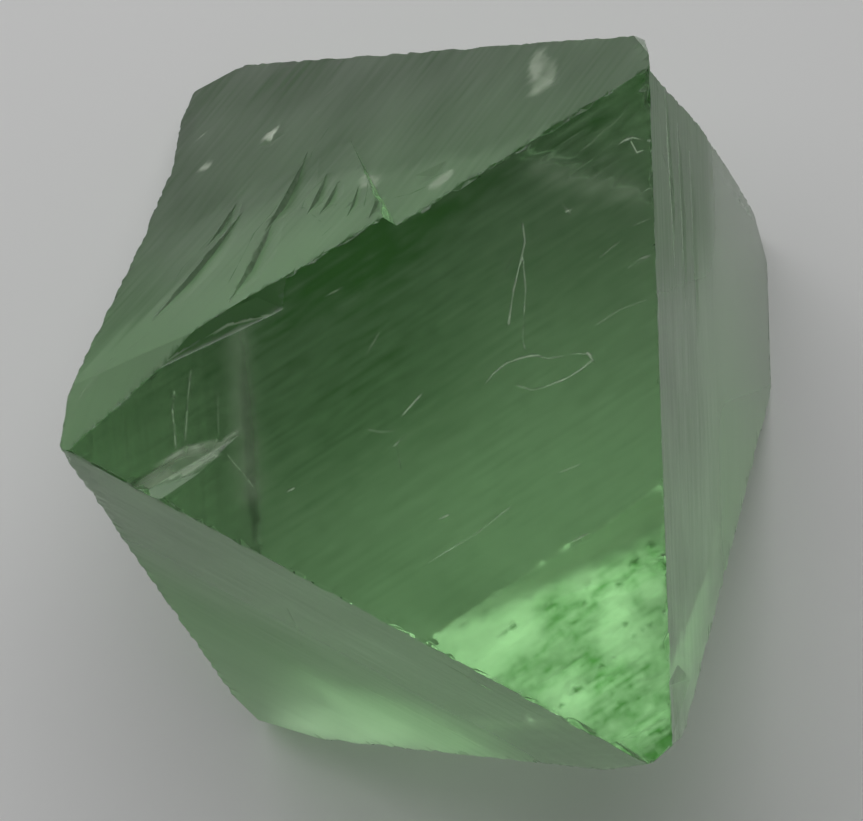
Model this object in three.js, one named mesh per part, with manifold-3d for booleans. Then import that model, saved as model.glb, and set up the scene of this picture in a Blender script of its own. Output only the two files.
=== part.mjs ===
// A cleavage octahedron of green fluorite, lying on one of its eight triangular faces.
// Millimetres, +Z up. The origin is on the rest face, under the middle of the crystal.
import * as THREE from "three";
import { ConvexGeometry } from "three/addons/geometries/ConvexGeometry.js";
import { mergeVertices } from "three/addons/utils/BufferGeometryUtils.js";
import Module from "manifold-3d";

const wasm = await Module();
wasm.setup();

// ---- Driving dimensions ---------------------------------------------------------------------

// Distance between the rest face and the top face, which are parallel.
const HEIGHT = 22.86;
// Fluorite splits along planes that meet so that each side face leans this far off upright.
const LEAN = 19.47;

// A face looks towards azimuth, turned from +X about +Z, and lift above the level, in degrees.
// Its plane lies at distance from the origin.
const TOP = { azimuth: 0, lift: 90, distance: HEIGHT };
const REST = { azimuth: 0, lift: -90, distance: 0 };
const NORTHWEST = { azimuth: 119.4, lift: LEAN, distance: 15.69 };
const SOUTHWEST = { azimuth: 238.8, lift: LEAN, distance: 16.33 };
const EAST = { azimuth: 359.7, lift: LEAN, distance: 14.83 };
const NORTHEAST = { azimuth: 70, lift: -17, distance: 10.05 };
const WEST = { azimuth: 182, lift: -21.4, distance: 8.02 };
const SOUTHEAST = { azimuth: 299.9, lift: -LEAN, distance: 8.53 };

// The northwest face has lost a sheet. What is left of it stands along the west half of the top
// edge, below a steeper break, and ends in a wall.
const NORTHWEST_SPLIT = { azimuth: 119.4, lift: LEAN, distance: 15.09 };
const NORTHWEST_BREAK = { azimuth: 118.8, lift: 16.3, distance: 14.59 };
const NORTHWEST_WALL = { azimuth: 57, lift: 13.7, distance: 10.1 };

// The west face has lost one too. What is left of it is a lump at the low northwest corner.
const WEST_SPLIT = { azimuth: 182, lift: -21.4, distance: 7.37 };
const WEST_RAMP = { azimuth: 203.6, lift: -19.8, distance: 3.4 };

// A notch is gone from the edge between the east and northeast faces. Its two flats end at a
// wall, and leave the very corner of the crystal standing.
const NOTCH_FLATS = [
  { azimuth: 61.5, lift: -4, distance: 13.8 },
  { azimuth: 51.5, lift: -4, distance: 14.37 },
];
const NOTCH_WALL = { azimuth: 0, lift: 5, distance: 9.75 };

// Flats knocked off the corners.
const CORNER_FLATS = [
  { azimuth: 62, lift: 13, distance: 20.54 }, // the north corner of the top
  { azimuth: 129.3, lift: 40, distance: 22.11 }, // its west corner
  { azimuth: 196.4, lift: -3, distance: 15.0 },
  { azimuth: 309, lift: 10, distance: 19.45 }, // its south corner
  { azimuth: 281.8, lift: 5, distance: 17.75 },
  { azimuth: 21.7, lift: 0, distance: 16.26 }, // the east corner of the rest face
  { azimuth: 149.5, lift: 0, distance: 14.58 }, // its northwest corner
  { azimuth: 114.6, lift: -10, distance: 15.32 },
  { azimuth: 218.6, lift: -4, distance: 14.91 }, // its southwest corner
  { azimuth: 256.1, lift: -4, distance: 15.69 },
];

// Cleavage ledges. A ledge is a low riser that runs between two [x, y] points of its face, and a
// tread on the left of it that climbs back to the face over a width.
const LEDGES = [
  // Lines that run down the break on the northwest face like the arms of a river.
  { face: NORTHWEST_BREAK, from: [3.6, 10.6], to: [8.9, 15.6], width: 1.3, depth: 0.22 },
  { face: NORTHWEST_BREAK, from: [3.4, 9.1], to: [5.3, 11.5], width: 0.7, depth: 0.14 },
  { face: NORTHWEST_BREAK, from: [0.0, 8.9], to: [3.0, 13.5], width: 1.5, depth: 0.3 },
  { face: NORTHWEST_BREAK, from: [2.5, 12.9], to: [5.9, 18.3], width: 1.2, depth: 0.26 },
  { face: NORTHWEST_BREAK, from: [-0.3, 11.8], to: [1.3, 14.5], width: 0.8, depth: 0.2 },
  { face: NORTHWEST_BREAK, from: [-0.4, 13.4], to: [0.9, 15.3], width: 0.7, depth: 0.16 },
  { face: NORTHWEST_BREAK, from: [-1.9, 16.0], to: [-0.5, 18.7], width: 0.9, depth: 0.2 },
  { face: NORTHWEST_BREAK, from: [-1.0, 15.0], to: [0.1, 17.2], width: 0.6, depth: 0.12 },
  // Long ones down the east face.
  { face: EAST, from: [12.3, 15.9], to: [6.0, 15.2], width: 0.7, depth: 0.14 },
  { face: EAST, from: [10.8, 13.6], to: [4.0, 13.2], width: 0.8, depth: 0.12 },
  { face: EAST, from: [9.5, 11.2], to: [2.0, 11.0], width: 0.9, depth: 0.1 },
  // Plain ones on the faces that look down.
  { face: SOUTHEAST, from: [-8.5, 2.0], to: [1.0, 1.6], width: 1.4, depth: 0.2 },
  { face: SOUTHEAST, from: [-3.0, -3.4], to: [8.0, -3.0], width: 1.6, depth: 0.24 },
  { face: SOUTHEAST, from: [-6.0, -8.2], to: [5.5, -7.8], width: 1.5, depth: 0.2 },
  { face: SOUTHEAST, from: [2.0, -12.0], to: [8.5, -11.6], width: 1.2, depth: 0.18 },
  { face: WEST_SPLIT, from: [-7.0, 1.0], to: [6.0, 3.2], width: 1.6, depth: 0.22 },
  { face: WEST_SPLIT, from: [5.0, -6.0], to: [-4.0, -2.0], width: 1.5, depth: 0.18 },
  { face: WEST_SPLIT, from: [-2.0, -12.0], to: [3.0, -5.0], width: 1.2, depth: 0.2 },
  { face: NORTHEAST, from: [-6.0, 2.0], to: [4.0, -2.5], width: 1.5, depth: 0.2 },
  { face: NORTHEAST, from: [-1.0, -11.0], to: [5.0, -4.0], width: 1.3, depth: 0.18 },
  { face: NORTHEAST, from: [6.0, 3.0], to: [-3.0, 5.0], width: 1.4, depth: 0.16 },
];
// The outline of every ledge, as shares of its length and width, and the foot of its riser, as
// shares of its length, width and depth.
const LEDGE_RIM = [[0, 0], [1, 0], [0.8, 0.8], [0.5, 1], [0.1, 0.6]];
const LEDGE_FOOT = [[0.3, 0.02, 0.8], [0.6, 0.02, 1]];

// Flakes and bruises lost from the faces. rim holds the [x, y] points where a dip meets its face,
// and floor the [x, y, depth] points at its bottom.
const DIPS = [
  { // a flake shaped like a blade, on the top face next to its southwest edge
    face: TOP,
    rim: [[-14.0, -2.4], [-11.7, -1.2], [-9.6, -0.65], [-11.0, -1.9], [-12.8, -3.0]],
    floor: [[-13.2, -2.6, 0.22], [-11.4, -1.65, 0.08]],
  },
  { // a sliver off the edge between the top and northwest faces
    face: TOP,
    rim: [[-12.2, 2.4], [-9.9, 3.75], [-8.0, 4.15], [-7.6, 6.4], [-12.6, 3.4]],
    floor: [[-11.9, 3.1, 0.16], [-10.0, 4.35, 0.3], [-8.5, 4.9, 0.24]],
  },
  { // bruises on the northwest face
    face: NORTHWEST_SPLIT,
    rim: [[-9.8, 13.2], [-10.7, 14.2], [-10.2, 15.6], [-9.4, 14.6]],
    floor: [[-10.1, 14.5, 0.1]],
  },
  {
    face: NORTHWEST_SPLIT,
    rim: [[-3.2, 15.6], [-4.6, 16.0], [-4.3, 16.9], [-3.0, 16.6]],
    floor: [[-3.8, 16.4, 0.14]],
  },
  {
    face: NORTHWEST_SPLIT,
    rim: [[0.2, 3.9], [-0.3, 4.6], [0.7, 5.0], [1.1, 4.3]],
    floor: [[0.5, 4.4, 0.1]],
  },
  { // a sliver off the east face near its south corner
    face: EAST,
    rim: [[-10.9, 17.3], [-11.5, 19.4], [-13.6, 18.6], [-11.8, 14.9]],
    floor: [[-11.7, 17.4, 0.18]],
  },
];
// A dip's cutter is this much wider than the dip, and rises out of the face as it widens.
const CUTTER_FLARE = 1.5;

// Small shell-shaped chips along the edges. A chip is longer along its edge than across it, and
// its middle stands off the edge by a share of its size.
const CHIP_SPACING = 1.1;
const CHIP_SIZE = { least: 0.12, most: 0.34 };
const CHIP_STRETCH = { least: 1.4, most: 3.9 };
const CHIP_STANDOFF = { least: 0.35, most: 0.65 };
const CHIP_SEED = 7;

const COLOUR = 0x4f8a55;
const OPACITY = 0.6;
const ROUGHNESS = 0.2;

// ---- Tools ----------------------------------------------------------------------------------

// Every block that takes off a whole face is this wide.
const BLOCK = 4 * HEIGHT;
// Corners of a tool that lie closer than this are one corner.
const WELD = 1e-4;

// A closed three.js geometry as a manifold-3d solid.
function solidOf(geometry) {
  const bare = geometry.clone();
  bare.deleteAttribute("normal");
  bare.deleteAttribute("uv");
  const merged = mergeVertices(bare, WELD);
  return new wasm.Manifold(
    new wasm.Mesh({
      numProp: 3,
      vertProperties: merged.getAttribute("position").array,
      triVerts: new Uint32Array(merged.index.array),
    }),
  );
}

function outwardOf({ azimuth, lift }) {
  const turn = THREE.MathUtils.degToRad(azimuth);
  const rise = THREE.MathUtils.degToRad(lift);
  return new THREE.Vector3(
    Math.cos(rise) * Math.cos(turn),
    Math.cos(rise) * Math.sin(turn),
    Math.sin(rise),
  );
}

// The frame of a face: x runs level along it, y up its slope, z outwards. The top face has no
// slope, so its x and y are the part's own.
function frameOf(face) {
  const z = outwardOf(face);
  const level = new THREE.Vector3(0, 0, 1).cross(z);
  const x = face.lift === 90 ? new THREE.Vector3(1, 0, 0) : level.normalize();
  const y = z.clone().cross(x);
  return new THREE.Matrix4()
    .makeBasis(x, y, z)
    .setPosition(z.clone().multiplyScalar(face.distance));
}

// Everything beyond a face, as a block.
function beyond(face) {
  const block = new THREE.BoxGeometry(BLOCK, BLOCK, BLOCK);
  block.translate(0, 0, BLOCK / 2);
  return solidOf(block.applyMatrix4(frameOf(face)));
}

// The point where three faces meet.
function cornerOf(a, b, c) {
  const [na, nb, nc] = [a, b, c].map(outwardOf);
  const volume = na.dot(nb.clone().cross(nc));
  return nb
    .clone()
    .cross(nc)
    .multiplyScalar(a.distance)
    .add(nc.clone().cross(na).multiplyScalar(b.distance))
    .add(na.clone().cross(nb).multiplyScalar(c.distance))
    .divideScalar(volume);
}

// The cutter for a shallow dip.
function dip({ face, rim, floor }) {
  const low = floor.map(([x, y, depth]) => new THREE.Vector3(x, y, -depth));
  const middle = new THREE.Vector3();
  low.forEach((point) => middle.addScaledVector(point, 1 / low.length));
  const high = rim.map(([x, y]) =>
    new THREE.Vector3(x, y, 0).sub(middle).multiplyScalar(CUTTER_FLARE).add(middle),
  );
  return solidOf(new ConvexGeometry([...high, ...low]).applyMatrix4(frameOf(face)));
}

// The cutter for a cleavage ledge.
function ledge({ face, from, to, width, depth }) {
  const start = new THREE.Vector2(...from);
  const along = new THREE.Vector2(...to).sub(start);
  const side = new THREE.Vector2(-along.y, along.x).normalize().multiplyScalar(width);
  const at = (share, out) => start.clone()
    .addScaledVector(along, share)
    .addScaledVector(side, out)
    .toArray();
  const rim = LEDGE_RIM.map(([share, out]) => at(share, out));
  const floor = LEDGE_FOOT.map(([share, out, deep]) => [...at(share, out), deep * depth]);
  return dip({ face, rim, floor });
}

// Numbers from 0 to 1 that are the same on every run (Lehmer's generator).
const MULTIPLIER = 16807;
const MODULUS = 2 ** 31 - 1;

function numbersFrom(seed) {
  let state = seed;
  return () => {
    state = (state * MULTIPLIER) % MODULUS;
    return state / MODULUS;
  };
}

// A number from a range.
function pick({ least, most }, share) {
  return THREE.MathUtils.lerp(least, most, share);
}

// ---- Chips ----------------------------------------------------------------------------------

// Little chips along the edge between two faces, from one corner to the other.
function edgeChips(faceA, faceB, from, to, random) {
  const outward = outwardOf(faceA).add(outwardOf(faceB)).normalize();
  const edge = to.clone().sub(from);
  const along = edge.clone().normalize();
  const count = Math.round(edge.length() / CHIP_SPACING);
  const chips = [];
  for (let i = 0; i < count; i += 1) {
    const size = pick(CHIP_SIZE, random() ** 2);
    const stretch = pick(CHIP_STRETCH, random());
    const centre = from.clone()
      .addScaledVector(along, ((i + random()) / count) * edge.length())
      .addScaledVector(outward, size * pick(CHIP_STANDOFF, random()));
    const blob = new THREE.IcosahedronGeometry(size, 0);
    blob.rotateX(random() * Math.PI);
    blob.scale(1, 1, stretch);
    blob.applyQuaternion(
      new THREE.Quaternion().setFromUnitVectors(new THREE.Vector3(0, 0, 1), along),
    );
    blob.translate(centre.x, centre.y, centre.z);
    chips.push(solidOf(blob));
  }
  return chips;
}

function allEdgeChips() {
  const random = numbersFrom(CHIP_SEED);
  const split = NORTHWEST_SPLIT;
  const broken = NORTHWEST_BREAK;
  const west = WEST_SPLIT;
  // Each edge runs between two faces, from one end face to the other.
  const edges = [
    [TOP, split, EAST, NORTHWEST_WALL],
    [TOP, broken, NORTHWEST_WALL, SOUTHWEST],
    [TOP, EAST, split, SOUTHWEST],
    [TOP, SOUTHWEST, broken, EAST],
    [split, NORTHEAST, EAST, REST],
    [broken, west, SOUTHWEST, split],
    [split, west, broken, WEST_RAMP],
    [SOUTHWEST, west, broken, REST],
    [SOUTHWEST, SOUTHEAST, EAST, REST],
    [EAST, SOUTHEAST, SOUTHWEST, REST],
    [EAST, NORTHEAST, split, REST],
    [REST, NORTHEAST, split, EAST],
    [REST, SOUTHEAST, EAST, SOUTHWEST],
    [REST, west, SOUTHWEST, WEST_RAMP],
    [REST, EAST, NORTHEAST, SOUTHEAST],
  ];
  return edges.flatMap(([a, b, start, end]) =>
    edgeChips(a, b, cornerOf(a, b, start), cornerOf(a, b, end), random),
  );
}

// ---- The crystal ----------------------------------------------------------------------------

function crystal() {
  const slab = new THREE.BoxGeometry(BLOCK, BLOCK, HEIGHT);
  slab.translate(0, 0, HEIGHT / 2);
  const faces = [NORTHWEST, SOUTHWEST, EAST, NORTHEAST, WEST, SOUTHEAST, ...CORNER_FLATS];
  const cuts = [
    ...faces.map(beyond),
    beyond(NORTHWEST_SPLIT).intersect(beyond(NORTHWEST_BREAK).add(beyond(NORTHWEST_WALL))),
    beyond(WEST_SPLIT).intersect(beyond(WEST_RAMP)),
    ...NOTCH_FLATS.map((flat) => beyond(flat).intersect(beyond(NOTCH_WALL))),
    ...LEDGES.map(ledge),
    ...DIPS.map(dip),
    ...allEdgeChips(),
  ];
  return cuts.reduce((solid, cut) => solid.subtract(cut), solidOf(slab));
}

function geometryOf(solid) {
  const mesh = solid.getMesh();
  const geometry = new THREE.BufferGeometry();
  geometry.setAttribute("position", new THREE.BufferAttribute(mesh.vertProperties, 3));
  geometry.setIndex(new THREE.BufferAttribute(mesh.triVerts, 1));
  return geometry;
}

const fluorite = new THREE.Mesh(
  geometryOf(crystal()),
  new THREE.MeshStandardMaterial({
    color: COLOUR,
    roughness: ROUGHNESS,
    metalness: 0,
    transparent: true,
    opacity: OPACITY,
    flatShading: true,
  }),
);
fluorite.name = "fluorite_crystal";

const group = new THREE.Group();
group.add(fluorite);

export default group;
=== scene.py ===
import math

import bmesh
import bpy
from bpy.props import FloatProperty, FloatVectorProperty, PointerProperty
from mathutils import Matrix, Vector, noise


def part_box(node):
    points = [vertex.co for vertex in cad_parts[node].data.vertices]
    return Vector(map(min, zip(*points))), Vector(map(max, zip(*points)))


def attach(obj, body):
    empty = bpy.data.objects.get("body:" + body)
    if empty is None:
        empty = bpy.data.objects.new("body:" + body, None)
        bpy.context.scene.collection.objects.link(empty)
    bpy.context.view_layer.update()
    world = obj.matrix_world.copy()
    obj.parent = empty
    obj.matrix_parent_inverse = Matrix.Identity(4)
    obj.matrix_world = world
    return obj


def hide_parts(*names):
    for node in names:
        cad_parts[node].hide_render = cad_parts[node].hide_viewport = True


bl_info = {
    "name": "Fluorite Octahedron",
    "version": (1, 0, 0),
    "blender": (4, 5, 0),
    "location": "3D View > Sidebar > Fluorite",
    "description": "A cleavage octahedron of green fluorite on a plain table",
    "category": "Add Mesh",
}

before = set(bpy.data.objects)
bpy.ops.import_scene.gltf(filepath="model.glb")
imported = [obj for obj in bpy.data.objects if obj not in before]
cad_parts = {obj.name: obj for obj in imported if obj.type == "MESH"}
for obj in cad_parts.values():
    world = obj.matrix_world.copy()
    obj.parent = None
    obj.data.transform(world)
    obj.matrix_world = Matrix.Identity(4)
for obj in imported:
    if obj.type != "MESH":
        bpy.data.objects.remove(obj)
MM = 0.001
WHITE = (1.0, 1.0, 1.0, 1.0)

# A cut that passes within SNAP of a corner goes through it. Corners closer than DOUBLES are
# merged, and faces that turn less than FLAT are joined.
SNAP = 0.004 * MM
DOUBLES = 0.0005 * MM
FLAT = math.radians(0.05)

# How far beside a scratch, and past its ends, faces are still cut by it
CUT_BESIDE = 0.6 * MM
CUT_PAST = 0.3 * MM

# Depth of a dark crack, as a share of that of a pale scratch
CRACK_DEPTH = 0.2


# ---- Shader tools ---------------------------------------------------------------------------

class Wire:
    """An output socket that adds Math nodes when it is used in an expression."""

    def __init__(self, shop, socket):
        self.shop = shop
        self.socket = socket

    def _math(self, operation, *values, clamp=False):
        settings = {"operation": operation, "use_clamp": clamp}
        return self.shop.add("ShaderNodeMath", settings, dict(enumerate(values)))

    def __add__(self, other):
        return self._math("ADD", self, other)

    def __radd__(self, other):
        return self._math("ADD", other, self)

    def __mul__(self, other):
        return self._math("MULTIPLY", self, other)

    def __rmul__(self, other):
        return self._math("MULTIPLY", other, self)

    def clamp(self):
        return self._math("ADD", self, 0.0, clamp=True)

    def out(self, name):
        return Wire(self.shop, self.socket.node.outputs[name])


class Shop:
    """The node tree of one material."""

    def __init__(self, name):
        self.material = bpy.data.materials.new(name)
        self.material.use_nodes = True
        self.tree = self.material.node_tree
        self.tree.nodes.clear()

    def add(self, kind, settings=None, inputs=None):
        """Adds a node: its settings first, then the values or wires of its sockets."""
        node = self.tree.nodes.new(kind)
        for key, value in (settings or {}).items():
            setattr(node, key, value)
        for key, value in (inputs or {}).items():
            if isinstance(value, Wire):
                self.tree.links.new(value.socket, node.inputs[key])
            else:
                node.inputs[key].default_value = value
        return Wire(self, node.outputs[0]) if node.outputs else None


# ---- Settings -------------------------------------------------------------------------------

class CrystalSettings(bpy.types.PropertyGroup):
    coarseness: FloatProperty(
        name="Coarseness", description="Widens the spacing of the fine mesh", default=1.0,
        min=1.0, max=10.0)
    crease: FloatProperty(
        name="Crease", description="Edges that turn more than this stay sharp",
        default=math.radians(6), subtype="ANGLE", unit="ROTATION")
    striation: FloatProperty(
        name="Striation", description="Depth of the fine steps along the grain",
        default=0.01 * MM, unit="LENGTH")
    crumple: FloatProperty(
        name="Crumple", description="Depth of the lumps on the broken south-east side",
        default=0.03 * MM, unit="LENGTH")
    scratch_depth: FloatProperty(
        name="Scratch depth", description="Depth of the palest scratches",
        default=0.03 * MM, unit="LENGTH")
    nibble: FloatProperty(
        name="Nibble", description="Depth of the wear along the edges",
        default=0.1 * MM, unit="LENGTH")
    tint: FloatVectorProperty(
        name="Tint", description="Colour that the stone lets through",
        subtype="COLOR", size=3, default=(0.35, 0.784, 0.263), min=0.0, max=1.0)
    density: FloatProperty(
        name="Density", description="Strength of the absorption, per metre", default=31.0)
    refraction: FloatProperty(
        name="Refraction", description="Index of refraction of fluorite", default=1.434)
    frosting: FloatProperty(
        name="Frosting", description="Roughness of the cleanest surface", default=0.12,
        subtype="FACTOR", min=0.0, max=1.0)
    core: FloatVectorProperty(
        name="Core", description="Tint of the darkest growth zone",
        subtype="COLOR", size=3, default=(0.06, 0.2, 0.04), min=0.0, max=1.0)
    scuff: FloatVectorProperty(
        name="Scuffs", description="Colour of bruises and scratches", subtype="COLOR", size=3,
        default=(0.75, 0.8, 0.68), min=0.0, max=1.0)
    top_veil: FloatProperty(
        name="Veil on top", description="Share of the top that is frosted white",
        subtype="FACTOR", default=0.006, min=0.0, max=1.0)
    southwest_frost: FloatProperty(
        name="Frost on the south-west", description="Roughness that its low part adds",
        subtype="FACTOR", default=0.6, min=0.0, max=1.0)
    northwest_frost: FloatProperty(
        name="Frost on the north-west", description="Roughness that the north-west side adds",
        subtype="FACTOR", default=0.25, min=0.0, max=1.0)
    side_veil: FloatProperty(
        name="Veil on the sides", description="Share of the sides that is frosted white",
        subtype="FACTOR", default=0.025, min=0.0, max=1.0)
    northwest_veil: FloatProperty(
        name="Veil on the north-west", description="Share of that side that is frosted white",
        subtype="FACTOR", default=0.015, min=0.0, max=1.0)
    southeast_veil: FloatProperty(
        name="Veil below", description="Share of the south-east side that is frosted white",
        subtype="FACTOR", default=0.15, min=0.0, max=1.0)
    southeast_frost: FloatProperty(
        name="Frost below", description="Roughness that the south-east side adds",
        subtype="FACTOR", default=0.2, min=0.0, max=1.0)


class StageSettings(bpy.types.PropertyGroup):
    paper: FloatVectorProperty(
        name="Paper", description="Colour of the table's paper", subtype="COLOR", size=3,
        default=(0.8, 0.8, 0.8), min=0.0, max=1.0)
    lens: FloatProperty(name="Lens", description="Focal length in millimetres", default=263.0)
    sky: FloatProperty(name="Sky", description="Strength of the light from all round",
                       default=0.1, min=0.0)
    window_turn: FloatProperty(
        name="Window turn", description="Which way the window lies, from +X about +Z",
        default=math.radians(108), subtype="ANGLE", unit="ROTATION")
    window_lift: FloatProperty(
        name="Window lift", description="How high the window stands above the table",
        default=math.radians(45), subtype="ANGLE", unit="ROTATION")
    window_distance: FloatProperty(
        name="Window distance", description="From the stone to the window", default=0.35,
        unit="LENGTH")
    window_size: FloatProperty(
        name="Window size", description="Side of the square window", default=0.35,
        unit="LENGTH")
    window_power: FloatProperty(
        name="Window power", description="Light of the window, in watts", default=1.06)


# ---- Sides of the crystal -------------------------------------------------------------------

class Side:
    """A side of the crystal. It looks towards an azimuth, turned from +X about +Z, and a lift
    above the level, both in degrees, and lies at a distance from the origin in millimetres.
    Its cleavage grain runs at an angle to its level axis. The mesh on it is ruled at a pitch
    along the grain and a finer one across it."""

    def __init__(self, azimuth, lift, distance, grain, pitch):
        turn, rise = math.radians(azimuth), math.radians(lift)
        self.z = Vector((math.cos(rise) * math.cos(turn), math.cos(rise) * math.sin(turn),
                         math.sin(rise)))
        self.x = Vector((1, 0, 0)) if abs(lift) == 90 else Vector((0, 0, 1)).cross(self.z)
        self.x.normalize()
        self.y = self.z.cross(self.x)
        self.distance = distance
        self.grain = math.radians(grain)
        self.along = self.x * math.cos(self.grain) + self.y * math.sin(self.grain)
        self.across = self.z.cross(self.along)
        self.pitch = pitch

    def point(self, u, v):
        return (self.x * u + self.y * v + self.z * self.distance) * MM

    def place(self, point):
        return point.dot(self.x) / MM, point.dot(self.y) / MM

    def in_grain(self, point):
        return point.dot(self.along) / MM, point.dot(self.across) / MM


SIDES = {
    "top": Side(0, 90, 22.86, 30.2, (0.5, 0.15)),
    "rest": Side(0, -90, 0, 30, (1.0, 0.5)),
    "northwest": Side(119.4, 19.47, 15.09, 40, (0.5, 0.18)),
    "southwest": Side(238.8, 19.47, 16.33, 0, (0.6, 0.2)),
    "east": Side(359.7, 19.47, 14.83, 0, (0.6, 0.2)),
    "northeast": Side(70, -17, 10.05, 0, (0.6, 0.25)),
    "west": Side(182, -21.4, 7.37, 0, (0.6, 0.25)),
    "southeast": Side(299.9, -19.47, 8.53, 0, (0.45, 0.15)),
}


# ---- Marks on the crystal -------------------------------------------------------------------

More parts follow.
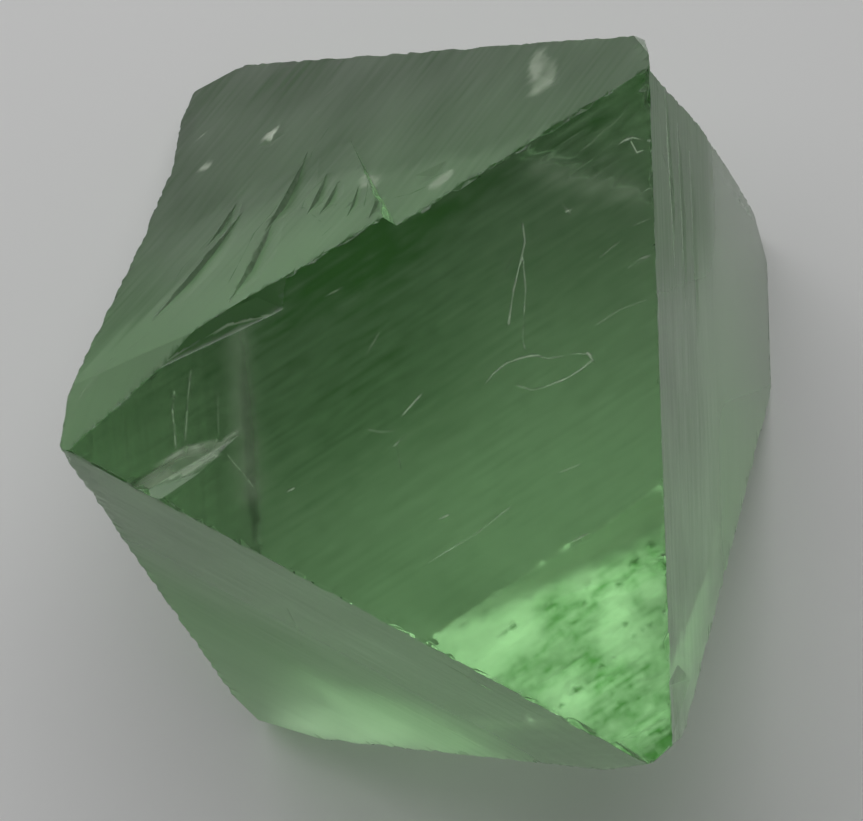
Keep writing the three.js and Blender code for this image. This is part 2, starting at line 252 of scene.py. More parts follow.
# Scratches and cracks: the side, how pale they are, or how dark where that is below zero, half
# their width, and their points on that side. Widths and points are in millimetres. The dark
# ones are painted shade, along cracks and in chips.
SCRATCHES = (
    # the loop east of the middle, its two sides and its bright far end
    ("top", 0.35, 0.056, ((2.95, 0.75), (2.45, 0.65), (1.9, 0.85))),
    ("top", 0.63, 0.064, ((0.6, 1.05), (0.95, 1.45), (1.45, 1.8), (2.15, 2.0), (2.65, 2.05))),
    ("top", 0.49, 0.056, ((2.65, 2.05), (3.1, 1.9), (3.6, 1.95), (4.3, 2.05), (4.8, 2.0))),
    ("top", 0.7, 0.072, ((4.8, 2.0), (4.95, 1.75), (4.45, 1.4), (3.95, 1.1), (3.55, 0.95))),
    ("top", 0.49, 0.056, ((3.55, 0.95), (2.95, 0.75))),
    # the two upright cracks north of it
    ("top", 0.55, 0.08, ((2.35, 7.35), (2.4, 6.65), (2.2, 5.85), (1.85, 4.7), (1.6, 3.35))),
    ("top", 0.45, 0.07, ((2.3, 5.85), (2.35, 4.7), (2.15, 2.85), (2.2, 2.35))),
    # the check marks south-west of the middle
    ("top", 0.63, 0.064, ((-2.9, -0.15), (-2.2, 0.55))),
    ("top", 0.35, 0.056, ((-4.3, -0.6), (-3.8, -0.75), (-3.15, -0.7))),
    ("top", 0.42, 0.056, ((-3.15, -1.25), (-2.85, -1.0), (-2.3, -0.75))),
    ("top", 0.28, 0.056, ((-3.15, -1.25), (-3.0, -2.25))),
    # white upright streaks near the west corner
    ("top", 0.42, 0.081, ((-12.0, 1.3), (-12.1, 0.55), (-12.05, -0.8))),
    ("top", 0.35, 0.072, ((-11.3, 2.05), (-11.45, 1.1), (-11.65, -0.65))),
    ("top", 0.21, 0.064, ((-10.25, 1.2), (-10.3, -0.35))),
    # long scratch, the crack by the flake, and short ones
    ("top", 0.42, 0.048, ((-2.0, -6.1), (-1.0, -5.55), (0.0, -5.0), (1.4, -4.0))),
    ("top", 0.56, 0.064, ((-9.95, -1.4), (-9.6, -1.9), (-9.25, -2.35), (-9.05, -2.7))),
    ("top", 0.35, 0.056, ((6.75, 5.45), (7.55, 5.9))),
    ("top", 0.35, 0.056, ((5.3, 3.2), (6.1, 3.75))),
    ("top", 0.35, 0.056, ((-4.15, 2.5), (-3.65, 3.25))),
    ("top", 0.28, 0.056, ((3.4, -2.75), (4.4, -2.4))),
    # light line below the north edge
    ("top", 0.42, 0.081, ((-12.7, 2.3), (-11.7, 2.85), (-10.7, 3.35), (-9.75, 3.85), (-8.75, 4.05),
                       (-8.15, 4.15))),
    ("southwest", 0.8, 0.07, ((4.4, 17.25), (5.0, 17.25), (5.6, 17.05), (6.05, 17.1))),
    ("southwest", 0.48, 0.056, ((2.85, 8.95), (4.2, 9.15), (5.55, 9.3))),
    ("southwest", 0.8, 0.07, ((5.55, 9.3), (6.65, 9.4), (8.0, 9.55))),
    ("southwest", 0.32, 0.056, ((-2.3, 13.8), (-1.25, 11.85), (-0.7, 10.2), (-0.15, 9.45))),
    ("east", 0.56, 0.056, ((9.9, 16.3), (10.05, 15.2))),
    # cracks of the north-west side, painted dark as shade, and the light streaks near its west
    # corner
    ("northwest", -0.8, 0.05, ((2.05, 6.55), (3.0, 8.05), (4.0, 9.45), (5.5, 10.6), (6.65, 11.45),
                               (7.75, 12.85), (8.8, 13.75))),
    ("northwest", -0.9, 0.05, ((-1.8, 6.55), (-0.55, 7.9), (0.45, 9.6), (1.4, 10.3),
                               (2.35, 11.45), (3.45, 12.4), (4.6, 14.3), (5.65, 15.95))),
    ("northwest", -0.8, 0.05, ((-0.05, 11.35), (0.8, 11.8), (1.25, 12.8), (1.0, 13.75))),
    ("northwest", -0.8, 0.05, ((-0.2, 12.45), (0.55, 13.35), (1.05, 13.8))),
    ("northwest", -0.6, 0.05, ((-0.4, 13.9), (0.15, 14.65))),
    ("northwest", -0.9, 0.05, ((-1.6, 14.05), (-1.2, 15.25), (-0.75, 16.4))),
    ("northwest", -0.5, 0.05, ((1.45, 11.85), (1.15, 13.7), (1.05, 15.3))),
    ("northwest", -1.0, 0.07, ((-2.05, 16.45), (-2.5, 16.9), (-3.1, 17.1))),
    ("northwest", -1.0, 0.06, ((0.95, 16.6), (1.3, 16.8))),
    ("northwest", 0.3, 0.05, ((13.3, 17.4), (12.35, 16.9), (11.15, 16.2))),
    ("northwest", 0.3, 0.05, ((12.75, 17.25), (11.05, 16.45), (9.25, 15.9))),
    ("northwest", 0.15, 0.06, ((10.25, 11.95), (7.55, 11.0), (5.7, 10.25), (3.0, 8.05))),
    ("northwest", 0.15, 0.06, ((9.25, 13.55), (6.95, 12.55), (4.8, 10.7))),
    # the chips and strokes at the north corner
    ("top", 0.6, 0.06, ((6.25, 10.3), (6.6, 10.55), (6.95, 10.65), (7.35, 10.55))),
    ("top", 0.6, 0.06, ((6.9, 10.45), (7.1, 10.05), (7.3, 10.1))),
    ("top", 0.5, 0.06, ((6.95, 11.45), (7.15, 11.65), (7.35, 11.7))),
    ("top", 0.3, 0.05, ((4.2, 9.7), (5.3, 10.55), (5.9, 11.1))),
    ("top", 0.3, 0.05, ((4.75, 9.55), (5.6, 10.1), (6.2, 10.55))),
    ("top", 0.25, 0.05, ((5.2, 9.15), (6.2, 9.7), (6.9, 10.05))),
    ("top", 0.3, 0.05, ((5.65, 10.8), (6.5, 11.55), (6.85, 12.0))),
    ("top", 0.25, 0.05, ((3.85, 10.4), (4.6, 10.85))),
    # short strokes along the grain, by the east edge
    ("top", 0.3, 0.05, ((5.45, 5.9), (6.3, 6.55))),
    ("top", 0.5, 0.06, ((6.6, 5.45), (7.05, 5.75), (7.4, 5.85))),
    ("top", 0.25, 0.05, ((1.3, 5.0), (1.9, 6.15))),
    ("top", 0.25, 0.05, ((5.35, 3.3), (6.2, 3.75), (7.15, 4.05))),
    ("top", 0.25, 0.05, ((6.8, 7.1), (7.4, 7.3))),
    ("top", 0.5, 0.08, ((4.0, 8.05), (4.3, 7.7))),
    # chips of the east side, painted dark as shade, and light streaks, by its edge with the top
    ("east", -0.8, 0.1, ((9.95, 16.8), (8.85, 15.5))),
    ("east", -0.8, 0.1, ((8.85, 14.9), (8.1, 14.75))),
    ("east", -0.9, 0.08, ((7.9, 15.1), (7.5, 13.45))),
    ("east", -0.6, 0.1, ((13.05, 17.75), (12.2, 17.0))),
    ("east", 0.3, 0.1, ((11.85, 17.65), (10.65, 16.25))),
    ("east", 0.3, 0.08, ((10.4, 15.85), (9.55, 15.4))),
    ("east", 0.2, 0.1, ((11.1, 11.5), (10.5, 10.85))),
    ("east", 0.2, 0.12, ((10.45, 9.75), (9.35, 8.7))),
    ("east", -0.4, 0.08, ((8.25, 12.9), (7.3, 12.75), (2.55, 13.45))),
)

# Bruises, where the surface is crushed white: the side, how pale, and the outline.
BRUISES = (
    ("northwest", 0.32, ((-10.1, 11.6), (-10.65, 11.4), (-10.75, 13.2), (-10.55, 14.1), (-9.9, 15.3),
                         (-9.3, 15.3), (-9.0, 14.9))),
    ("northwest", 0.3, ((-3.3, 17.15), (-3.95, 17.0), (-4.55, 16.95), (-4.55, 17.45), (-4.0, 17.85),
                        (-3.3, 17.95))),
    ("northwest", 0.35, ((-1.3, 13.6), (-1.85, 13.25), (-1.95, 14.0), (-1.5, 14.9), (-1.15, 14.4))),
    ("northwest", 0.6, ((3.8, 3.0), (3.3, 3.4), (2.7, 3.0), (3.2, 2.7))),
    ("northwest", 0.6, ((1.05, 4.0), (0.3, 4.2), (-0.2, 3.75), (0.4, 3.5))),
    ("top", 0.35, ((-13.95, -2.55), (-12.2, -1.15), (-10.8, -0.7), (-10.2, -0.8), (-9.6, -0.4),
                   (-9.4, -0.2), (-10.5, -1.55), (-11.95, -2.2), (-13.15, -2.6))),
    ("east", 0.6, ((8.3, 6.3), (8.9, 6.4), (8.8, 7.1), (8.3, 7.0))),
)

# Specks: the side, how pale they are, and the places. Each is cut as a short scratch.
SPECKS = (
    ("top", 0.7, ((-4.15, 5.4), (-5.5, 4.95), (-7.5, -2.9), (-1.2, -4.25), (4.2, -5.4),
                  (4.15, 7.8), (-14.15, -1.7))),
    ("northwest", 0.7, ((-6.7, 13.8), (2.65, -0.1), (-2.85, 3.3), (-2.0, 4.4))),
)
SPECK_RUN = (0.12, 0.05)
SPECK_HALF = 0.06

# Pits on the top, near its south corner, and how far each reaches
PITS = ((0.8, -9.2), (0.95, -9.1), (2.85, -8.15), (6.35, -6.65), (6.45, -6.5), (7.15, -5.85),
        (4.2, -8.15), (5.4, -10.4), (3.85, -11.55), (3.7, -11.6), (3.5, -11.85),
        (3.1, -12.2), (4.85, -10.65), (6.15, -9.6), (6.95, -9.15), (6.6, -9.25),
        (5.65, -7.4), (4.4, -7.45), (1.35, -8.9), (1.2, -8.95), (5.9, -9.0))
PIT_REACH = 0.14

# Painted highlight: a soft upright band on the top, where the edge of the west ramp catches the
# light
HIGHLIGHT_BAND = ((-9.3, 3.7), (-9.35, 0.8), (-9.1, -2.9))

# Line across the north-west side, above which it is paler
PALE_START = ((-12.0, 20.0), (-5.8, 17.1), (-4.5, 14.9), (-2.8, 14.1), (-1.4, 12.0), (0.8, 9.6),
              (2.7, 9.8), (5.0, 11.4), (7.5, 13.0), (10.5, 14.0), (13.0, 15.5))

# Painted sheen: a soft arc across the north corner of the top
SHEEN_ARC = ((3.0, 9.5), (4.4, 9.1), (5.55, 8.7), (6.85, 8.4))

# Rippled part of the top, at its north corner
RIPPLE_CENTRE = (6.8, 11.5)
RIPPLE_REACH = 5.5

# Line across the top, past which it is pitted towards its south corner, the pitch of the mesh
# there, and the painted glints there: brighter places, each with its reach
PITTED_START = ((-2.8, -8.9), (7.55, -4.1))
PITTED_PITCH = (0.2, 0.15)
PAINTED_GLINTS = (((5.8, -9.45), 1.6), ((-0.2, -9.8), 1.9), ((1.6, -9.1), 1.3), ((3.35, -11.9), 1.3),
          ((4.25, -7.1), 0.8), ((7.0, -7.7), 0.9), ((5.6, -8.1), 0.9))


# ---- Grain and wear -------------------------------------------------------------------------

# Streaks of noise along the grain: their length and width in millimetres, and a seed
WIDE_STEPS = (7.0, 0.9, 3.0)
FINE_STEPS = (3.0, 0.35, 4.0)
CRUMPLES = (1.2, 0.4, 2.0)
RIPPLES = (1.6, 0.4, 9.0)
RIPPLE_SHADES = (1.4, 0.25, 13.0)
WIDE_VEILS = (3.0, 1.2, 5.0)
FINE_VEILS = (4.0, 0.4, 6.0)
WIDE_FROSTS = (3.0, 1.5, 8.0)
WIDE_ZONES = (5.0, 3.0, 7.0)
FINE_ZONES = (3.0, 0.22, 10.0)
HAIRS = (1.2, 0.15, 14.0)
PITTED_STREAKS = (0.9, 0.2, 11.0)
HIGHLIGHT_FRINGE = (1.5, 0.6, 12.0)
PALE_FRINGE = (4.0, 0.5, 2.0)

# Depths in millimetres
CHIP_DEPTH = 0.03
RIPPLE_DEPTH = 0.035
GRIT_DEPTH = 0.015
PIT_DEPTH = 0.05

# Shares of white frosting
# The first is painted highlight and sheen rather than frosting
HIGHLIGHT_VEIL = 0.13
PIT_VEIL = 0.25
BROKEN_VEIL = 0.62
TIP_VEIL = 0.1

# Roughness
VEIL_ROUGHNESS = 0.2
SCUFF_ROUGHNESS = 0.7
CHIP_FROST = 0.7
EAST_FROST = 0.2
EAST_EDGE_FROST = 0.3
WEST_TIP_FROST = 0.25
MOST_FROST = 0.8

# Share of light that a scuffed place still lets through
SCUFF_CLEARNESS = 0.4


def streak(side, point, length, width, seed):
    """Noise from -1 to 1, in streaks of a length and a width along the side's grain."""
    along, across = side.in_grain(point)
    return noise.noise(Vector((along / length, across / width, seed)))


def lump(point, size):
    """Noise from -1 to 1, in lumps of a size in millimetres."""
    return noise.noise(point / (size * MM))


def smooth(value, start, end):
    """0 at start and 1 at end, with soft shoulders."""
    share = bound((value - start) / (end - start))
    return share * share * (3 - 2 * share)


def bound(value, high=1.0):
    """The value, or the nearer of 0 and high where it lies outside them."""
    return min(max(value, 0.0), high)


def inside(u, v, outline):
    """Whether a place on a side lies inside an outline."""
    found = False
    for (u0, v0), (u1, v1) in zip(outline, outline[1:] + outline[:1]):
        if (v0 > v) != (v1 > v) and u < u0 + (v - v0) / (v1 - v0) * (u1 - u0):
            found = not found
    return found


def to_line(u, v, places):
    """Distance from a place on a side to a line through places."""
    return min((Vector((u, v)) - near).length for near in (
        start + (end - start) * bound((Vector((u, v)) - start).dot(end - start)
                                      / (end - start).length_squared)
        for start, end in zip(map(Vector, places), map(Vector, places[1:]))))


def level(u, places):
    """Height at u of a line through places, which run from low u to high u."""
    for (u0, v0), (u1, v1) in zip(places, places[1:]):
        if u <= u1:
            return v0 + (v1 - v0) * bound((u - u0) / (u1 - u0))
    return places[-1][1]


def worn_edge(side, point):
    """How near a place on the top is to its north-west edge, which is chipped, from 0 to 1."""
    return smooth(side.in_grain(point)[1], 5.8, 7.4)


def chipped(side, point):
    """How far a place on the top has sunk into a chip of its north-west edge, from 0 to 1."""
    sunk = side.distance - point.dot(side.z) / MM
    return smooth(sunk, 0.0, 0.06) * smooth(side.in_grain(point)[1], 4.5, 5.5)


def painted_highlight(side, point):
    """How strongly a place on the top is painted with highlight and sheen, along its soft band and
    its soft arc, from 0 to 1.
    """
    u, v = side.place(point)
    soft = 0.25 * streak(side, point, *HIGHLIGHT_FRINGE)
    band = smooth(to_line(u, v, HIGHLIGHT_BAND) + soft, 0.9, 0.0)
    return max(band, 0.7 * smooth(to_line(u, v, SHEEN_ARC) + soft, 0.8, 0.0))


def rippled(side, point):
    """How near a place on the top is to its north corner, which is rippled, from 0 to 1."""
    u, v = side.place(point)
    return smooth(math.dist((u, v), RIPPLE_CENTRE), RIPPLE_REACH, 0.35 * RIPPLE_REACH)


def pitted(side, point):
    """Distance of a place on the top past the line from where it is pitted."""
    start, end = map(Vector, PITTED_START)
    along = (end - start).normalized()
    away = Vector(side.place(point)) - start
    return away.x * along.y - away.y * along.x + 0.5 * lump(point, 1.2)


def pit(side, point):
    """How deep in a pit a place on the top lies, from 0 to 1."""
    place = side.place(point)
    return smooth(min(math.dist(place, centre) for centre in PITS), PIT_REACH, 0.4 * PIT_REACH)


def pale(side, point):
    """How far into its paler part a place on the north-west side lies, from 0 to 1."""
    u, v = side.place(point)
    past = v - level(u, PALE_START) + 0.8 * streak(side, point, *PALE_FRINGE)
    return smooth(past, -0.4, 1.0)


def bruised(name, side, point):
    """How pale a bruise is at a place, or 0 outside the bruises."""
    u, v = side.place(point)
    patchy = 1.0 + 0.6 * lump(point, 0.5)
    return max((paleness * patchy for bruise_side, paleness, outline in BRUISES
                if bruise_side == name and inside(u, v, outline)), default=0.0)


def relief(name, side, point, settings):
    """Depth of the surface below its plane at a point, in millimetres."""
    if name == "rest":
        return 0.0
    if name == "southeast":
        lumps = 1.0 + 0.6 * lump(point, 1.3) + 0.4 * streak(side, point, *CRUMPLES)
        return settings.crumple / MM * lumps
    steps = 1.0 + 0.6 * streak(side, point, *WIDE_STEPS) + 0.4 * streak(side, point, *FINE_STEPS)
    depth = settings.striation / MM * steps
    if name == "top":
        bent = point + side.x * lump(point, 1.5) * MM
        depth += CHIP_DEPTH * abs(lump(point, 0.5)) * worn_edge(side, point)
        depth += RIPPLE_DEPTH * (1.0 + streak(side, bent, *RIPPLES)) * rippled(side, point)
        grit = GRIT_DEPTH * (1.0 + lump(point, 0.4)) + PIT_DEPTH * pit(side, point)
        depth += smooth(pitted(side, point), 0.0, 1.5) * grit
    return depth


def veil_and_highlight(name, side, point, settings):
    """Share of the surface that is frosted white at a point, painted highlight and sheen included.
    """
    u, v = side.place(point)
    wide = streak(side, point, *WIDE_VEILS)
    fine = streak(side, point, *FINE_VEILS)
    if name == "top":
        share = settings.top_veil * (1.0 + 2.0 * fine + wide)
        # Painted highlight and sheen: whiter along the soft band and arc
        share += HIGHLIGHT_VEIL * painted_highlight(side, point)
        share = max(share, PIT_VEIL * pit(side, point))
    elif name == "southeast":
        blot = lump(point, 2.4)
        share = settings.southeast_veil * (1.0 + 1.1 * blot + 0.8 * fine)
        broken = 3.2 + 0.3 * u  # all broken below this, and sound well above it
        share += BROKEN_VEIL * smooth(v + 0.8 * blot + 0.8 * fine, broken + 3.8 + 0.2 * u, broken)
    elif name == "northwest":
        share = settings.northwest_veil * (1.0 + 0.8 * wide + 1.2 * fine + pale(side, point))
    else:
        share = settings.side_veil * (1.0 + 0.5 * wide + 0.4 * fine)
        if name == "east":
            tip = smooth(v, 14.5, 16.5) * smooth(u, 9.0, 6.0)
            share += TIP_VEIL * tip * bound(0.6 + 1.5 * fine)
    return bound(max(share, bruised(name, side, point)))


def frost(name, side, point, settings):
    """Roughness that a frosted part of the surface adds at a point."""
    u, v = side.place(point)
    patchy = 1.0 + 0.3 * streak(side, point, *WIDE_FROSTS)
    share = 0.0
    if name == "southwest":
        share = settings.southwest_frost * smooth(v, 15.0, 5.0) * patchy
    elif name == "east":
        # its low south part, and its upper part along the north edge
        share = EAST_FROST * smooth(u, 3.0, -3.0) * smooth(v, 11.0, 5.0)
        share += EAST_EDGE_FROST * smooth(u, 2.0, 7.0) * smooth(v, 4.0, 9.0)
    elif name == "northwest":
        share = settings.northwest_frost * patchy + WEST_TIP_FROST * smooth(u, 6.0, 11.0)
    elif name == "southeast":
        share = settings.southeast_frost * patchy
    elif name == "top":
        share = CHIP_FROST * chipped(side, point)
    return bound(share, high=MOST_FROST)


def top_zone_and_painted_light(side, point):
    """Depth of the dark tint at a place on the top, with painted light and shade in it."""
    u, v = side.place(point)
    across = side.in_grain(point)[1]
    # deepest along the north-west edge and round its middle, and less deep at the west corner
    share = smooth(across, -6.0, 5.0) * (0.57 + 0.29 * smooth(abs(u + 4.0), 8.0, 0.0))
    share *= 0.7 + 0.3 * smooth(u, -16.0, -10.0)
    # uneven along the grain, most of all where the surface is rippled
    share += 0.1 * streak(side, point, *WIDE_ZONES) + 0.13 * streak(side, point, *FINE_ZONES)
    share += 0.08 * lump(point, 0.6) + 0.1 * streak(side, point, *HAIRS)
    share += 0.5 * rippled(side, point) * streak(side, point, *RIPPLE_SHADES)
    # Darker along the chipped north-west edge and painted shade in the chips; lighter under the
    # painted highlight and sheen
    share += 0.15 * worn_edge(side, point) + chipped(side, point) - 0.45 * painted_highlight(side, point)
    # mottled with painted light and shade in the pitted part, with brighter painted glints
    past = pitted(side, point)
    painted_mottle = 0.4 * streak(side, point, *PITTED_STREAKS) + 0.3 * lump(point, 0.25)
    dark = 0.68 + painted_mottle + 0.2 * lump(point, 1.6) + 0.1 * smooth(past, 7.0, 9.5)
    for centre, reach in PAINTED_GLINTS:
        dark -= 0.6 * smooth(math.dist((u, v), centre), reach, 0.3 * reach) * (1.0 + painted_mottle)
    # Painted shade: each pit is tinted darkest
    return max(share + (dark - share) * smooth(past, 0.3, 1.8), pit(side, point))


def zone_and_painted_light(name, side, point):
    """Depth of the dark tint at a point, from 0 to 1, with painted light and shade in it."""
    u, v = side.place(point)
    wide = streak(side, point, *WIDE_ZONES)
    fine = streak(side, point, *FINE_ZONES)
    if name == "top":
        share = top_zone_and_painted_light(side, point)
    elif name == "northwest":
        # Painted shade: this side is tinted deeper, most of all towards its low corner, where it
        # reflects less light
        share = 0.6 + 0.3 * wide + 0.2 * fine + 0.2 * smooth(v, 9.0, 2.0)
        share -= (0.35 + 0.3 * smooth(u, 1.0, 6.0)) * pale(side, point)
    elif name == "southeast":
        share = 0.35 + 0.2 * wide
    elif name == "east":
        # Painted glow: the tint fades towards the bottom edge, where light comes through the stone
        share = (0.3 + 0.2 * wide + 0.35 * fine) * smooth(v, 3.0, 12.0)
        # darker along the middle of its top edge
        share += 0.3 * smooth(v, 9.0, 12.0) * smooth(u, -6.0, -2.0) * smooth(u, 7.0, 4.0)
    else:
        # Painted glow: the tint fades towards the bottom edge, where light comes through the stone
        share = (0.25 + 0.2 * wide + 0.2 * fine) * smooth(v, 3.0, 12.0)
    return bound(share - 1.5 * bruised(name, side, point))


# ---- Crystal --------------------------------------------------------------------------------

def sort_into_sides(work):
    """Writes on each face of the mesh the number of the side that it belongs to."""
    layer = work.faces.layers.int.new("side")
    ways = [side.z for side in SIDES.values()]
    for face in work.faces:
        face[layer] = max(range(len(ways)), key=lambda index: ways[index].dot(face.normal))
    return layer


def faces_of(work, number, name):
    """The faces of the mesh that belong to a side."""
    index = list(SIDES).index(name)
    return [face for face in work.faces if face[number] == index]


def pieces_of(faces):
    """The faces with their edges and corners, each once and always in the same order."""
    return list(dict.fromkeys(
        item for face in faces for item in (face, *face.edges, *face.verts)))


def rule(work, faces, way, low, high, count):
    """Cuts the faces into a count of strips between two reaches along a way, half by half."""
    if count < 2 or not faces:
        return faces
    half = count // 2
    middle = low + (high - low) * half / count
    geometry = pieces_of(faces)
    cut = bmesh.ops.bisect_plane(
        work, geom=geometry, dist=SNAP, plane_co=way * middle, plane_no=way)
    lower, upper = [], []
    for item in cut["geom"]:
        if isinstance(item, bmesh.types.BMFace):
            below = item.calc_center_median().dot(way) < middle
            (lower if below else upper).append(item)
    return (rule(work, lower, way, low, middle, half)
            + rule(work, upper, way, middle, high, count - half))


def rule_side(work, faces, side, pitches, coarseness):
    """Cuts the faces of a side at a pitch along its grain and another across it."""
    for way, pitch in zip((side.along, side.across), pitches):
        reaches = [vert.co.dot(way) for face in faces for vert in face.verts]
        low, high = min(reaches), max(reaches)
        faces = rule(work, faces, way, low, high,
                     round((high - low) / (pitch * coarseness * MM)))


class Shelf:
    """Finds the faces of the mesh near a stretch, by cubes of a size."""
    size = 0.8 * MM

    def __init__(self, faces):
        self.cubes = {}
        for face in faces:
            self.keep(face)

    def cube(self, point):
        return tuple(math.floor(part / self.size) for part in point)

    def keep(self, face):
        self.cubes.setdefault(self.cube(face.calc_center_median()), []).append(face)

    def near(self, start, end):
        """Takes out the faces in the cubes round a stretch."""
        low = self.cube(map(min, start, end))
        high = self.cube(map(max, start, end))
        found = []
        for i in range(low[0] - 1, high[0] + 2):
            for j in range(low[1] - 1, high[1] + 2):
                for k in range(low[2] - 1, high[2] + 2):
                    found += self.cubes.pop((i, j, k), [])
        return found


def strokes():
    """All scratches, with the specks as very short ones."""
    yield from SCRATCHES
    for name, paleness, places in SPECKS:
        for u, v in places:
            yield name, paleness, SPECK_HALF, ((u, v), (u + SPECK_RUN[0], v + SPECK_RUN[1]))


def cut_scratches(work, number):
    """Cuts the scratches of each side into its mesh and writes how pale or dark they are."""
    layer = work.verts.layers.float.new("scratch")
    shelves = {name: Shelf(faces_of(work, number, name))
               for name in dict.fromkeys(stroke[0] for stroke in strokes())}
    for name, paleness, half, places in strokes():
        side = SIDES[name]
        points = [side.point(*place) for place in places]
        for start, end in zip(points, points[1:]):
            along = (end - start).normalized()
            across = along.cross(side.z)
            length = (end - start).length
            faces = shelves[name].near(start, end)
            close = [face for face in faces if any(
                abs((vert.co - start).dot(across)) < CUT_BESIDE
                and -CUT_PAST < (vert.co - start).dot(along) < length + CUT_PAST
                for vert in face.verts)]
            geometry = pieces_of(close)
            for offset in (-half, half, 0.0):
                cut = bmesh.ops.bisect_plane(
                    work, geom=geometry, dist=SNAP, plane_no=across,
                    plane_co=start + across * offset * MM)
                geometry = cut["geom"]
            for item in cut["geom_cut"]:
                if isinstance(item, bmesh.types.BMVert):
                    reach = (item.co - start).dot(along)
                    if -half * MM <= reach <= length + half * MM:
                        worn = bound(0.8 + 1.2 * lump(item.co, 0.6))
                        item[layer] = max(item[layer], paleness * worn, key=abs)
            kept = [item for item in geometry if isinstance(item, bmesh.types.BMFace)]
            for face in dict.fromkeys(kept + faces):
                shelves[name].keep(face)
    return layer


def shape_surface(work, number, scratch, settings):
    """Sinks the relief into the mesh and writes its frosting and its tint, both holding painted
    light, and its frost.
    """
    names = list(SIDES)
    veil_and_highlight_layer = work.verts.layers.float.new("veil_and_highlight")
    zone_and_painted_light_layer = work.verts.layers.float.new("zone_and_painted_light")
    frost_layer = work.verts.layers.float.new("frost")
    moves = []
    for vert in work.verts:
        found = {face[number] for face in vert.link_faces}
        name = names[min(found)]
        side = SIDES[name]
        vert[veil_and_highlight_layer] = max(veil_and_highlight(name, side, vert.co, settings), vert[scratch])
        share = zone_and_painted_light(name, side, vert.co)
        # Dark cracks and chips set a painted shade in the tint, and pale scratches lighten it
        vert[zone_and_painted_light_layer] = max(share * (1.0 - bound(1.5 * vert[scratch])), -vert[scratch])
        vert[frost_layer] = frost(name, side, vert.co, settings)
        # Inside a side the relief sinks the surface, and along an edge the wear pulls it in.
        if len(found) == 1:
            depth = relief(name, side, vert.co, settings)
            sunk = max(vert[scratch], -CRACK_DEPTH * vert[scratch])
            depth += sunk * settings.scratch_depth / MM
            moves.append((vert, side.z * -depth * MM))
        elif names.index("rest") not in found:
            inwards = -sum((SIDES[names[index]].z for index in found), Vector()).normalized()
            nibble = abs(lump(vert.co, 0.8)) * settings.nibble
            moves.append((vert, inwards * nibble))
    # Nothing moves out of the solid's own box.
    low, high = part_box("fluorite_crystal")
    for vert, move in moves:
        place = vert.co + move
        vert.co = [min(max(place[i], low[i]), high[i]) for i in range(3)]


def fluorite_material(settings):
    """Clear green stone, tinted by its zoning and by painted light and shade, roughened by its frost
    and scuffed white by its frosting, which holds painted highlights too.
    """
    shop = Shop("fluorite")
    veil_and_highlight_share, zone_and_painted_light_share, frost_share = (
        shop.add("ShaderNodeAttribute", {"attribute_name": name}).out("Fac")
        for name in ("veil_and_highlight", "zone_and_painted_light", "frost"))
    tint = shop.add("ShaderNodeMix", {"data_type": "RGBA"}, {
        "Factor": zone_and_painted_light_share, "A": WHITE, "B": (*settings.core, 1.0)}).out("Result")
    surface = shop.add("ShaderNodeBsdfPrincipled", None, {
        "Base Color": tint,
        "Roughness": (settings.frosting + frost_share + veil_and_highlight_share * VEIL_ROUGHNESS).clamp(),
        "IOR": settings.refraction,
        "Transmission Weight": 1.0,
    })
    scuff = shop.add("ShaderNodeMix", {"data_type": "RGBA", "blend_type": "MULTIPLY"}, {
        "Factor": 1.0, "A": (*settings.scuff, 1.0), "B": tint}).out("Result")
    scuffed = shop.add("ShaderNodeBsdfPrincipled", None, {
        "Base Color": scuff,
        "Roughness": SCUFF_ROUGHNESS,
        "IOR": settings.refraction,
        "Transmission Weight": SCUFF_CLEARNESS,
    })
    both = shop.add("ShaderNodeMixShader", None, {
        0: veil_and_highlight_share, 1: surface, 2: scuffed})
    absorption = shop.add("ShaderNodeVolumeAbsorption", None, {
        "Color": (*settings.tint, 1.0),
        "Density": settings.density,
    })
    shop.add("ShaderNodeOutputMaterial", None, {"Surface": both, "Volume": absorption})
    return shop.material


class FLUORITE_OT_crystal(bpy.types.Operator):
    """Makes the finely meshed crystal that stands for the plain solid"""
    bl_idname = "fluorite.crystal"
    bl_label = "Crystal"

    def execute(self, context):
        settings = context.scene.fluorite_crystal
        work = bmesh.new()
        work.from_mesh(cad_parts["fluorite_crystal"].data)
        bmesh.ops.remove_doubles(work, verts=work.verts, dist=DOUBLES)
        bmesh.ops.dissolve_limit(work, angle_limit=FLAT, verts=work.verts, edges=work.edges)
        work.normal_update()
        number = sort_into_sides(work)
        for edge in work.edges:
            edge.smooth = edge.calc_face_angle(0.0) < settings.crease
        for name, side in SIDES.items():
            faces = faces_of(work, number, name)
            rule_side(work, faces, side, side.pitch, settings.coarseness)
        top = SIDES["top"]
        rough = [face for face in faces_of(work, number, "top")
                 if pitted(top, face.calc_center_median()) > 0.0]
        rule_side(work, rough, top, PITTED_PITCH, settings.coarseness)
        scratch = cut_scratches(work, number)
        bmesh.ops.triangulate(work, faces=work.faces, ngon_method="BEAUTY")
        shape_surface(work, number, scratch, settings)
        for face in work.faces:
            face.smooth = True
        mesh = bpy.data.meshes.new("fluorite")
        work.to_mesh(mesh)
        work.free()
        crystal = bpy.data.objects.new("fluorite", mesh)
        context.scene.collection.objects.link(crystal)
        mesh.materials.append(fluorite_material(settings))
        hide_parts("fluorite_crystal")
        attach(crystal, "root")
        return {"FINISHED"}


# ---- Stage ----------------------------------------------------------------------------------

PAPER_ROUGHNESS = 0.9
TABLE_HALF = 0.6
TABLE_GAP = 0.02 * MM
CAMERA_PLACE = (-0.026713, 0.016769, 0.275282)
CAMERA_TURN = (-3.53484, -5.81961, -2.41706)  # degrees about X, Y and Z
CAMERA_REACH = (0.01, 10.0)
SENSOR_WIDTH = 36.0  # millimetres, as the lens


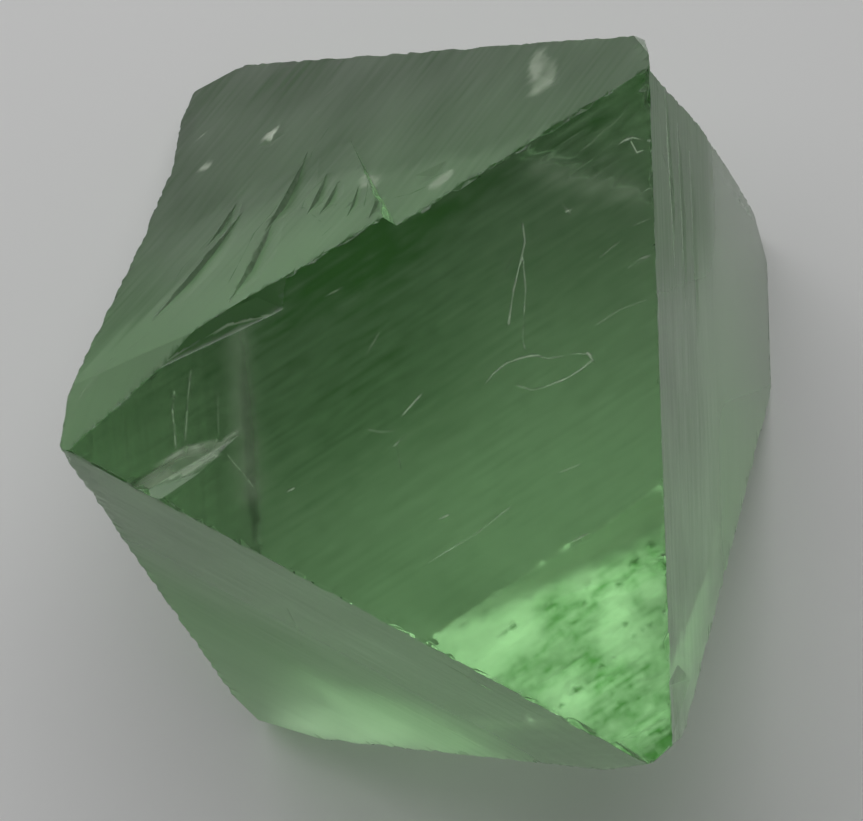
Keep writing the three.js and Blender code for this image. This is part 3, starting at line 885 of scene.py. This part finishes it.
def paper_material(settings):
    shop = Shop("paper")
    surface = shop.add("ShaderNodeBsdfPrincipled", None, {
        "Base Color": (*settings.paper, 1.0),
        "Roughness": PAPER_ROUGHNESS,
        "Specular IOR Level": 0.0,
    })
    shop.add("ShaderNodeOutputMaterial", None, {"Surface": surface})
    return shop.material


def make_table(context, settings):
    work = bmesh.new()
    bmesh.ops.create_grid(work, x_segments=1, y_segments=1, size=TABLE_HALF)
    mesh = bpy.data.meshes.new("table")
    work.to_mesh(mesh)
    work.free()
    table = bpy.data.objects.new("table", mesh)
    mesh.materials.append(paper_material(settings))
    mesh.transform(Matrix.Translation((0, 0, -TABLE_GAP)))
    context.scene.collection.objects.link(table)


def make_camera(context, settings):
    data = bpy.data.cameras.new("camera")
    data.lens = settings.lens
    data.sensor_width = SENSOR_WIDTH
    data.clip_start, data.clip_end = CAMERA_REACH
    camera = bpy.data.objects.new("camera", data)
    camera.location = CAMERA_PLACE
    camera.rotation_euler = [math.radians(turn) for turn in CAMERA_TURN]
    context.scene.collection.objects.link(camera)
    context.scene.camera = camera


def make_light(context, settings):
    world = bpy.data.worlds.new("room")
    world.use_nodes = True
    background = world.node_tree.nodes["Background"]
    background.inputs["Color"].default_value = WHITE
    background.inputs["Strength"].default_value = settings.sky
    context.scene.world = world
    lamp = bpy.data.lights.new("window", "AREA")
    lamp.shape = "SQUARE"
    lamp.size = settings.window_size
    lamp.energy = settings.window_power
    window = bpy.data.objects.new("window", lamp)
    turn, lift = settings.window_turn, settings.window_lift
    towards = Vector((math.cos(lift) * math.cos(turn), math.cos(lift) * math.sin(turn),
                      math.sin(lift)))
    window.location = towards * settings.window_distance
    window.rotation_euler = towards.to_track_quat("Z", "Y").to_euler()
    context.scene.collection.objects.link(window)
    context.scene.view_settings.view_transform = "Standard"


class FLUORITE_OT_stage(bpy.types.Operator):
    """Makes the table, the camera and the light"""
    bl_idname = "fluorite.stage"
    bl_label = "Stage"

    def execute(self, context):
        settings = context.scene.fluorite_stage
        make_table(context, settings)
        make_camera(context, settings)
        make_light(context, settings)
        return {"FINISHED"}


# ---- Panel and registration -----------------------------------------------------------------

class FLUORITE_PT_panel(bpy.types.Panel):
    bl_label = "Fluorite"
    bl_idname = "FLUORITE_PT_panel"
    bl_space_type = "VIEW_3D"
    bl_region_type = "UI"
    bl_category = "Fluorite"

    def draw(self, context):
        for group in (context.scene.fluorite_crystal, context.scene.fluorite_stage):
            for name in group.bl_rna.properties.keys():
                if name not in {"rna_type", "name"}:
                    self.layout.prop(group, name)
        self.layout.operator("fluorite.crystal")
        self.layout.operator("fluorite.stage")


CLASSES = (CrystalSettings, StageSettings, FLUORITE_OT_crystal, FLUORITE_OT_stage,
           FLUORITE_PT_panel)


def register():
    for cls in CLASSES:
        bpy.utils.register_class(cls)
    bpy.types.Scene.fluorite_crystal = PointerProperty(type=CrystalSettings)
    bpy.types.Scene.fluorite_stage = PointerProperty(type=StageSettings)


def unregister():
    del bpy.types.Scene.fluorite_crystal
    del bpy.types.Scene.fluorite_stage
    for cls in reversed(CLASSES):
        bpy.utils.unregister_class(cls)


def main():
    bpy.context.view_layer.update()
    register()
    bpy.ops.fluorite.stage()
    bpy.ops.fluorite.crystal()


if __name__ == "__main__":
    main()
